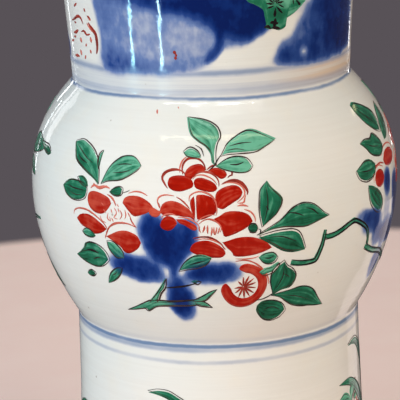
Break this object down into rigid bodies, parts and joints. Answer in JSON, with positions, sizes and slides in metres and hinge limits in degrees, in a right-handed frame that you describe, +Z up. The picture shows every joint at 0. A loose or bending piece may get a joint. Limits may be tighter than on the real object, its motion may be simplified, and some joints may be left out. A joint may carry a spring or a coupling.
{
  "type": "gu vase",
  "caption": "Tall porcelain beaker vase with a trumpet mouth, a swelling belly and a splayed foot, painted with flower sprays. Holds flowers or stands as an ornament.",
  "frame": {"origin": "middle of the standing ring, on the ground", "axes": "+Z up the vase's axis from the standing ring to the mouth; the painted spray that faces the viewer is on the -Y side"},
  "size_m": [0.192, 0.192, 0.4],
  "materials": {
    "glazed_porcelain": "clear glossy glaze over white porcelain with underglaze cobalt painting",
    "bare_porcelain": "unglazed, fired pale buff",
    "fired_slip": "fired slip, slightly rough",
    "green_enamel": "translucent glossy green enamel over the glaze",
    "red_enamel": "thin satin iron-red enamel over the glaze",
    "dark_line": "fine brown-black enamel drawing"
  },
  "bodies": {
    "root": {"neck_section": "glazed_porcelain", "belly_section": "glazed_porcelain", "foot_section": "glazed_porcelain", "base_disc": "bare_porcelain", "neck_slip_seam": "fired_slip", "foot_slip_seam": "fired_slip", "base_slip_seam": "fired_slip"}
  },
  "joints": []
}
